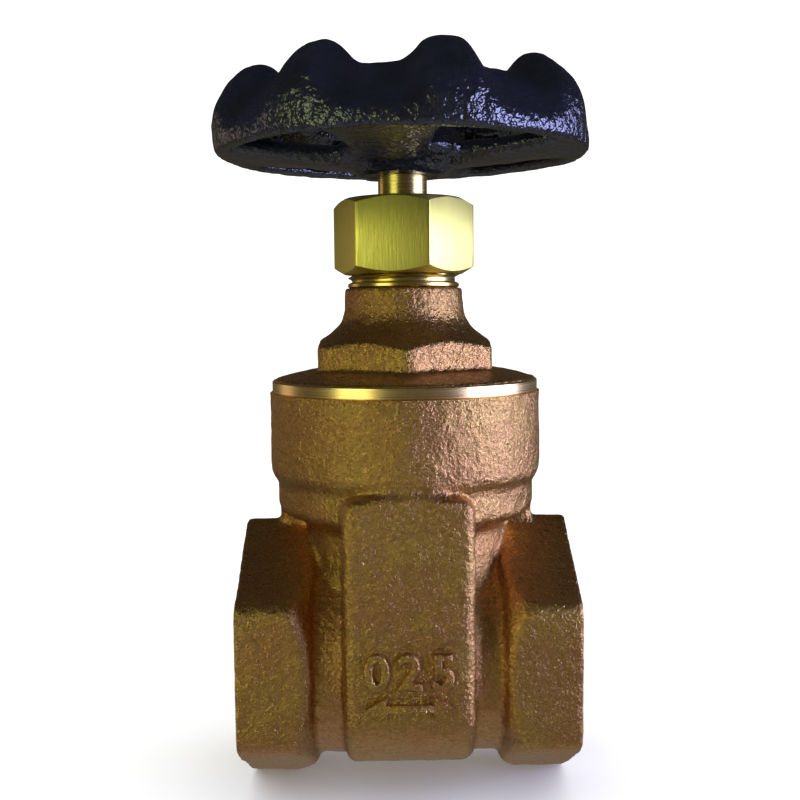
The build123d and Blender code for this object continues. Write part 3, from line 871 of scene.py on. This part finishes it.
    def plate(self, side: int, height: float, corners: Sequence[tuple[float, float]]) -> Shell:
        """A raised mark with soft sides: its outline draws in towards its middle as it rises.

        Args:
            side: -1 for the front face, 1 for the back one.
            height: where the outline's origin goes, in millimetres above the pipe's axis.
            corners: the outline, as places across and up.

        Returns:
            The mark, which starts inside the housing.
        """
        outline = np.array(corners)
        middle = outline.mean(axis=0)
        reach = np.linalg.norm(outline - middle, axis=1, keepdims=True)
        rings = []
        for level, drawn in ((-0.35, 0.0), (0.3, 0.0), (0.6, 0.12), (0.75, 0.34)):
            ring = middle + (outline - middle) * (1 - drawn / reach)
            depth = np.full(len(ring), side * (self.housing_half_depth + level))
            rings.append(np.column_stack([-side * ring[:, 0], depth, ring[:, 1] + height]))
        return skin(np.stack(rings))

    def arrow(self, side: int) -> bpy.types.Object:
        """The raised two-headed arrow along the pipe."""
        half, shaft, head, tip = self.arrow_half, 0.62, 2.1, 3.6
        level = self.arrow_height
        neck = half - tip + 0.4
        shell = self.plate(side, level, [(-neck, -shaft), (neck, -shaft), (neck, shaft), (-neck, shaft)])
        for way in (-1, 1):
            corners = [(way * half, 0.0), (way * (half - tip), head), (way * (half - tip), -head)]
            shell = shell.joined(self.plate(side, level, corners))
        piece = build("arrow", shell, self.datum.pipe_height)
        piece.data.materials.append(self.finishes.cast_bronze)
        return piece

    def make(self) -> bpy.types.Object:
        """Casts, machines and marks the body."""
        lumps = [self.end(-1), self.end(1), self.housing(), self.neck()]
        lumps.append(onto_pipe(turned([(self.barrel, -17.3), (self.barrel, 17.3)], 160)))
        lumps += [self.saddle(side) for side in (-1, 1)]
        piece = cast("valve_body", lumps, self.datum.pipe_height, 0.5, 7)
        piece.data.materials.clear()
        piece.data.materials.append(self.finishes.cast_bronze)
        piece.data.materials.append(self.finishes.pipe_thread)
        roughen(piece, [(5.0, 0.12), (1.9, 0.09), (1.05, 0.07)], 11)
        cut(piece, self.tools(), self.datum.pipe_height)
        seats = build("seats", self.seats(), self.datum.pipe_height)
        seats.data.materials.append(self.finishes.pipe_thread)
        marks = [make(side) for make in (self.size_mark, self.arrow) for side in (-1, 1)]
        join([piece, seats, *marks])
        shade(piece, 38)
        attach(piece, "valve")
        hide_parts("body")
        return piece


def join(pieces: Sequence[bpy.types.Object]) -> bpy.types.Object:
    """Joins pieces into the first, each face keeping its finish."""
    first = pieces[0]
    whole = bmesh.new()
    finishes = list(first.data.materials)
    for piece in pieces:
        numbers = []
        for finish in piece.data.materials:
            if finish not in finishes:
                finishes.append(finish)
            numbers.append(finishes.index(finish))
        start = len(whole.faces)
        whole.from_mesh(piece.data)
        whole.faces.ensure_lookup_table()
        for face in whole.faces[start:]:
            face.material_index = numbers[min(face.material_index, len(numbers) - 1)]
    first.data.materials.clear()
    for finish in finishes:
        first.data.materials.append(finish)
    whole.to_mesh(first.data)
    whole.free()
    for piece in pieces[1:]:
        bpy.data.objects.remove(piece, do_unlink=True)
    return first


@dataclass
class Bonnet:
    """The bonnet: a cast hexagon that swells into a round neck, on a turned rim."""

    datum: Datum
    finishes: Finishes
    across_flats: float = 30.06
    rim_radius: float = 23.5
    rim_edge: float = 2.1
    neck_height: float = 14.1

    def hexagon(self) -> Shell:
        """The hexagon and neck: radius = soft minimum of the hexagon and the turned shoulder."""
        base = self.datum.box_flange - self.neck_height
        table = np.array(
            [
                (-2.2, 17.9), (0.0, 17.7), (3.5, 17.6), (3.9, 17.0), (4.4, 16.0), (4.9, 15.0), (5.3, 14.35),
                (5.7, 13.75), (6.3, 12.95), (7.05, 12.13), (7.75, 11.5), (8.45, 11.05), (9.15, 10.8),
                (9.85, 10.62), (10.55, 10.5), (12.6, 10.36), (13.9, 10.34), (14.1, 10.2),
            ]
        )
        height = np.linspace(table[0, 0], table[-1, 0], 80)
        shoulder = np.interp(height, table[:, 0], table[:, 1])[:, None]
        angle = np.linspace(0, 2 * math.pi, 192, endpoint=False)
        hexagon = hexagon_radius(angle, self.across_flats, 0.0, 2.6)[None, :]
        radius = soft_min(hexagon + 0 * shoulder, shoulder + 0 * hexagon, 0.5)
        rings = np.stack(
            [radius * np.cos(angle), radius * np.sin(angle), (base + height)[:, None] + 0 * radius],
            axis=-1,
        )
        return skin(rings)

    def flange(self) -> Shell:
        """The cast top of the rim, rising a little to a fillet round the hexagon."""
        low = self.datum.ring_top + self.rim_edge
        base = self.datum.box_flange - self.neck_height
        return turned(
            [
                (0.01, low - 1.0), (22.9, low - 1.0), (23.25, low - 0.1), (22.8, low + 0.35),
                (20.5, low + 0.9), (18.6, base - 0.6), (17.0, base - 0.3), (15.5, base - 0.1), (0.01, base),
            ],
            192,
        )

    def rim(self) -> Shell:
        """The turned rim and the skirt that screws into the body."""
        top = self.datum.ring_top + self.rim_edge
        seat = self.datum.ring_top
        skirt, inner = 20.4, 16.3
        foot = seat - 9.8
        edge = 0.22
        return turned(
            [
                (inner, foot), (skirt, foot), (skirt, seat - 0.3), (skirt, seat), (self.rim_radius - edge, seat),
                (self.rim_radius, seat + edge), (self.rim_radius, top - edge), (self.rim_radius - edge, top),
                (22.7, top + 0.05), (inner, top - 0.4),
            ],
            192,
            looped=True,
        )

    def cavity(self) -> list[Shell]:
        """What is bored out of the casting: the room for the gate and the stem's chamber."""
        seat, top = self.datum.ring_top, self.datum.box_flange
        ceiling = top - 12.05
        below = [(16.3, seat - 12.0), (16.3, ceiling - 5.2), (9.6, ceiling - 1.0), (8.6, ceiling), (4.4, ceiling), (4.4, ceiling + 1.0)]
        above = [(4.4, ceiling + 0.5), (4.4, ceiling + 2.15), (7.5, ceiling + 2.15), (7.5, top - 7.1), (8.36, top - 7.1), (8.36, top + 1.0)]
        return [turned(below, 128), turned(above, 128)]

    def make(self) -> bpy.types.Object:
        """Casts and machines the bonnet."""
        piece = cast("valve_bonnet", [self.hexagon(), self.flange()], self.datum.pipe_height, 0.36, 5)
        piece.data.materials.clear()
        piece.data.materials.append(self.finishes.cast_bronze)
        piece.data.materials.append(self.finishes.turned_bronze)
        roughen(piece, [(3.6, 0.09), (1.6, 0.08), (0.85, 0.06)], 31)
        top = self.datum.box_flange
        face = slab((-20, -20, top), (20, 20, top + 5))
        cut(piece, [face, *self.cavity()], self.datum.pipe_height)
        rim = build("rim", self.rim(), self.datum.pipe_height)
        rim.data.materials.append(self.finishes.turned_bronze)
        join([piece, rim])
        shade(piece, 40)
        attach(piece, "valve")
        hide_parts("bonnet")
        return piece


@dataclass
class StuffingBox:
    """The stuffing box: a brass tube that screws into the bonnet and takes the packing nut."""

    datum: Datum
    finishes: Finishes
    crest: float = 9.98
    root: float = 9.12
    pitch: float = 1.35

    def make(self) -> bpy.types.Object:
        """Builds the box: a closed outline carried round the stem, its outer side a screw.

        On the threaded stretch radius = root + (crest - root) * tooth, the tooth being a clipped V
        of the phase (height / pitch - turn), so the ridge climbs to the right.
        """
        low = self.datum.box_flange
        floor, top = low - 7.1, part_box("stuffing_box")[1][2] / MM - self.datum.pipe_height
        thread = np.linspace(low + 1.1, top - 0.6, 96)
        outer = np.concatenate([[(7.7, floor), (7.7, low - 0.01), (9.55, low), (9.85, low + 0.25), (9.85, low + 0.7), (9.55, low + 0.92)]])
        inner = np.array([(8.6, top), (6.15, top), (6.15, floor + 3.0), (4.4, floor + 3.0), (4.4, floor)])
        angle = np.linspace(0, 2 * math.pi, 144, endpoint=False)
        phase = (thread[None, :] / self.pitch - angle[:, None] / (2 * math.pi)) % 1.0
        tooth = np.clip(1.12 - np.abs(phase - 0.5) * 3.0, 0, 1)
        fade = np.clip((thread - low - 1.2) / 0.7, 0, 1)[None, :]
        screw = self.root + (self.crest - self.root) * tooth * fade
        ones = np.ones((len(angle), 1))
        radius = np.hstack([ones * outer[:, 0], screw, ones * inner[:, 0]])
        height = np.hstack([ones * outer[:, 1], ones * thread, ones * inner[:, 1]])
        rings = np.stack([radius * np.cos(angle)[:, None], radius * np.sin(angle)[:, None], height], axis=-1)
        piece = build("stuffing_box_turned", skin(rings, looped=True), self.datum.pipe_height)
        piece.data.materials.append(self.finishes.stem_brass)
        shade(piece, 40)
        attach(piece, "valve")
        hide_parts("stuffing_box")
        return piece


@dataclass
class Handwheel:
    """The cast handwheel: a lobed, hollow rim on four broad spokes and a hub."""

    datum: Datum
    finishes: Finishes
    lobes: int = 8
    spokes: int = 4
    turn: float = 14.5
    valley_flat: float = 0.14
    lobe_outline: tuple[tuple[float, float], ...] = (
        (32.15, 0.0), (32.75, 2.2), (32.95, 4.6), (32.5, 7.2), (31.2, 9.9), (29.2, 12.3),
        (26.9, 14.0), (24.6, 14.55), (22.4, 13.7), (20.6, 11.6), (19.7, 9.0), (20.5, 7.2),
        (21.9, 8.6), (23.2, 10.7), (25.0, 11.9), (27.2, 11.0), (29.0, 8.6), (30.0, 5.6),
        (30.2, 2.6), (29.9, 0.35),
    )
    dip_outline: tuple[tuple[float, float], ...] = (
        (31.9, 0.0), (32.4, 1.4), (32.2, 2.9), (30.9, 4.4), (29.3, 6.0), (27.7, 7.7),
        (26.3, 9.4), (25.0, 10.6), (23.6, 10.4), (22.4, 9.2), (21.6, 7.4), (22.2, 6.0),
        (23.3, 6.8), (24.1, 7.6), (25.0, 7.6), (26.2, 6.6), (27.7, 5.2), (28.9, 3.7),
        (29.3, 1.9), (29.2, 0.35),
    )

    def rim(self) -> Shell:
        """The rim: at each turn the outline is a blend of the lobe's and the dip's.

        The blend is w^2 (3 - 2w) of w, the raised cosine of the lobe count times the turn with
        its ends clipped flat.
        """
        rim_h = self.datum.hub + 3.4
        lobe = smooth_through(self.lobe_outline, 4)
        dip = smooth_through(self.dip_outline, 4)
        angle = np.linspace(0, 2 * math.pi, 320, endpoint=False)
        wave = 0.5 + 0.5 * np.cos(self.lobes * (angle - math.radians(self.turn)))
        wave = np.clip((wave - self.valley_flat) / (1 - self.valley_flat), 0, 1)
        weight = (wave**2 * (3 - 2 * wave))[:, None, None]
        outline = lobe[None] * weight + dip[None] * (1 - weight)
        radius, height = outline[..., 0], outline[..., 1] + rim_h
        rings = np.stack([radius * np.cos(angle)[:, None], radius * np.sin(angle)[:, None], height], axis=-1)
        return skin(rings, looped=True)

    def spoke(self, heading: float) -> Shell:
        """One spoke: a flat oval section carried outwards, widening and rising to the rim.

        Half-width grows with the square of the way out, and the middle follows the dish.
        """
        way = np.linspace(0, 1, 14)[:, None]
        out = 5.0 + way * 25.3
        half_width = 5.2 + 5.8 * way**1.6
        half_thick = 2.1 - 0.5 * way
        middle = self.datum.hub + 2.9 + way * 2.3
        around = np.linspace(0, 2 * math.pi, 40, endpoint=False)[None, :]
        across = half_width * np.sign(np.cos(around)) * np.abs(np.cos(around)) ** 0.7
        up = half_thick * np.sign(np.sin(around)) * np.abs(np.sin(around)) ** 0.7
        head = math.radians(heading)
        x = out * math.cos(head) - across * math.sin(head)
        y = out * math.sin(head) + across * math.cos(head)
        return skin(np.stack([x, y, middle + up], axis=-1))

    def hub(self) -> Shell:
        """The hub, a turned boss with rounded ends."""
        low, top = self.datum.hub, self.datum.hub_top
        return turned(
            [
                (0.01, low), (7.6, low), (8.4, low + 0.6), (9.2, low + 1.6), (11.5, low + 3.0), (12.4, low + 4.4),
                (10.6, low + 6.0), (9.6, low + 8.0), (9.1, top - 0.7), (8.5, top), (0.01, top),
            ],
            96,
        )

    def make(self) -> bpy.types.Object:
        """Casts the wheel, bores it and gives it its paint."""
        dips = self.turn + 180 / self.lobes
        lumps = [self.rim(), self.hub()]
        lumps += [self.spoke(dips + 45 + n * 360 / self.spokes) for n in range(self.spokes)]
        piece = cast("handwheel_casting", lumps, self.datum.pipe_height, 0.5, 4)
        piece.data.materials.clear()
        piece.data.materials.append(self.finishes.enamel)
        piece.data.materials.append(self.finishes.steel)
        roughen(piece, [(6.0, 0.16), (2.4, 0.10), (1.2, 0.08)], 51)
        bore = turned([(4.36, self.datum.hub - 2), (4.36, self.datum.hub_top + 2)], 48)
        cut(piece, [bore], self.datum.pipe_height)
        shade(piece, 40)
        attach(piece, "spindle")
        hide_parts("handwheel")
        return piece


@dataclass
class SmallParts:
    """The nuts, washer, disc, stem, gate and packing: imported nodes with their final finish."""

    finishes: Finishes

    def make(self) -> list[bpy.types.Object]:
        """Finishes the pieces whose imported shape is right, with their edges broken."""
        made = []
        plan = (
            ("packing_nut", 0.16, self.finishes.nut_brass, "machined_brass", "valve"),
            ("wheel_nut", 0.12, self.finishes.steel, "zinc_steel", "spindle"),
            ("wheel_washer", 0.1, self.finishes.steel, "zinc_steel", "spindle"),
            ("identification_disc", 0.12, self.finishes.aluminium, "plain_aluminium", "spindle"),
        )
        for node, width, finish, slot_name, body in plan:
            piece = softened_copy(node, width)
            piece.data.materials.append(finish)
            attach(piece, body)
            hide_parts(node)
            made.append(piece)
        kept = {
            "stem": self.finishes.stem_brass,
            "wedge": self.finishes.turned_bronze,
            "packing_gland": self.finishes.stem_brass,
            "packing_ring_1": self.finishes.packing,
            "packing_ring_2": self.finishes.packing,
            "packing_ring_3": self.finishes.packing,
        }
        for node, finish in kept.items():
            for material_slot in frame["nodes"][node].material_slots:
                material_slot.material = finish
        return made


# ------------------------------------------------------------------ the studio
@dataclass
class Studio:
    """The pale floor, the soft lights and the camera."""

    datum: Datum
    focal_length: float = 46.44
    eye: tuple[float, float, float] = (-2.776, -184.515, 60.279)
    pitch_down: float = 0.0853
    heading: float = -0.0024
    roll: float = -0.0109
    object_turn: float = 0.738

    def camera(self) -> None:
        """Places the camera a little above the pipe, looking slightly down."""
        data = bpy.data.cameras.new("camera")
        data.lens = self.focal_length
        data.sensor_width = 36.0
        data.clip_start = 0.01
        holder = bpy.data.objects.new("camera", data)
        bpy.context.scene.collection.objects.link(holder)
        yaw, pitch, roll = self.heading, self.pitch_down, self.roll
        ahead = Vector((math.sin(yaw) * math.cos(pitch), math.cos(yaw) * math.cos(pitch), -math.sin(pitch)))
        level = Vector((math.cos(yaw), -math.sin(yaw), 0))
        upward = level.cross(ahead)
        right = math.cos(roll) * level + math.sin(roll) * upward
        up = -math.sin(roll) * level + math.cos(roll) * upward
        back = Matrix.Rotation(-math.radians(self.object_turn), 3, "Z")
        axes = Matrix([back @ right, back @ up, back @ -ahead]).transposed().to_4x4()
        eye = Vector(self.eye) * MM + Vector((0, 0, self.datum.pipe_height * MM))
        holder.matrix_world = Matrix.Translation(eye) @ axes
        bpy.context.scene.camera = holder

    def panel(
        self,
        name: str,
        bearing: float,
        distance: float,
        height: float,
        size: tuple[float, float],
        power: float,
        colour: tuple[float, float, float],
    ) -> None:
        """A soft rectangular light that faces the valve.

        Args:
            name: the light's name.
            bearing: degrees to the right of the camera's side, seen from the valve.
            distance: metres from the valve.
            height: metres above the floor.
            size: width and height in metres.
            power: watts.
            colour: the light's colour.
        """
        data = bpy.data.lights.new(name, "AREA")
        data.shape = "RECTANGLE"
        data.size, data.size_y = size
        data.energy = power
        data.color = colour
        holder = bpy.data.objects.new(name, data)
        bpy.context.scene.collection.objects.link(holder)
        turn = math.radians(bearing)
        holder.location = (distance * math.sin(turn), -distance * math.cos(turn), height)
        aim = Vector((0, 0, 0.065)) - holder.location
        holder.rotation_euler = aim.to_track_quat("-Z", "Y").to_euler()
        holder.visible_camera = False

    def make(self) -> None:
        """Sets the stage."""
        mesh = bpy.data.meshes.new("floor")
        reach = 3.0
        mesh.from_pydata([(-reach, -reach, 0), (reach, -reach, 0), (reach, reach, 0), (-reach, reach, 0)], [], [(0, 1, 2, 3)])
        floor = bpy.data.objects.new("floor", mesh)
        bpy.context.scene.collection.objects.link(floor)
        board = Board("pale_floor")
        board.principled(Base_Color=(0.9, 0.9, 0.9, 1), Roughness=0.9, Specular_IOR_Level=0.0)
        mesh.materials.append(board.material)
        floor.visible_glossy = False
        self.panel("left_panel", -42, 0.45, 0.07, (0.24, 0.20), 0.42, (0.90, 1.0, 0.50))
        self.panel("right_panel", 78, 0.45, 0.07, (0.40, 0.20), 1.65, (0.86, 0.93, 1.9))
        self.panel("back_panel", -118, 0.45, 0.10, (0.16, 0.20), 0.08, (1.0, 0.76, 0.6))
        self.world()
        bpy.context.scene.view_settings.view_transform = "Standard"
        self.camera()

    def world(self) -> None:
        """A white room for the eye and for matt surfaces, which shiny surfaces see much darker.

        What a shiny surface sees fades from a low glow below to nearly nothing overhead.
        """
        world = bpy.data.worlds.new("studio")
        world.use_nodes = True
        bpy.context.scene.world = world
        tree = world.node_tree
        path = tree.nodes.new("ShaderNodeLightPath")
        place = tree.nodes.new("ShaderNodeTexCoord")
        split = tree.nodes.new("ShaderNodeSeparateXYZ")
        height = tree.nodes.new("ShaderNodeMapRange")
        fade = tree.nodes.new("ShaderNodeValToRGB")
        mix = tree.nodes.new("ShaderNodeMix")
        mix.data_type = "RGBA"
        height.inputs["From Min"].default_value = -1.0
        stops = fade.color_ramp.elements
        stops[0].position, stops[0].color = 0.0, (0.42, 0.42, 0.44, 1)
        stops[1].position, stops[1].color = 1.0, (0.01, 0.01, 0.012, 1)
        for position, colour in ((0.27, (0.09, 0.08, 0.055, 1)), (0.5, (0.082, 0.072, 0.045, 1)), (0.66, (0.025, 0.022, 0.018, 1))):
            stop = stops.new(position)
            stop.color = colour
        mix.inputs["B"].default_value = (1.3, 1.3, 1.3, 1)
        tree.links.new(place.outputs["Generated"], split.inputs[0])
        tree.links.new(split.outputs["Z"], height.inputs["Value"])
        tree.links.new(height.outputs["Result"], fade.inputs["Fac"])
        tree.links.new(fade.outputs["Color"], mix.inputs["A"])
        seen = tree.nodes.new("ShaderNodeMath")
        seen.operation = "SUBTRACT"
        seen.inputs[0].default_value = 1.0
        tree.links.new(path.outputs["Is Glossy Ray"], seen.inputs[1])
        tree.links.new(seen.outputs[0], mix.inputs["Factor"])
        tree.links.new(mix.outputs["Result"], tree.nodes["Background"].inputs["Color"])


def main() -> None:
    """Builds the valve and its studio."""
    logging.basicConfig(level=logging.INFO, format="%(name)s: %(message)s")
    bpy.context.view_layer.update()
    datum = Datum()
    finishes = Finishes()
    makers: list[tuple[str, Callable[[], object]]] = [
        ("studio", Studio(datum).make),
        ("small parts", SmallParts(finishes).make),
        ("stuffing box", StuffingBox(datum, finishes).make),
        ("bonnet", Bonnet(datum, finishes).make),
        ("handwheel", Handwheel(datum, finishes).make),
        ("body", ValveBody(datum, finishes).make),
    ]
    for name, make in makers:
        made = make()
        if isinstance(made, bpy.types.Object):
            log.info("%s: %d faces", name, len(made.data.polygons))
        else:
            log.info("%s done", name)


if __name__ == "__main__":
    main()
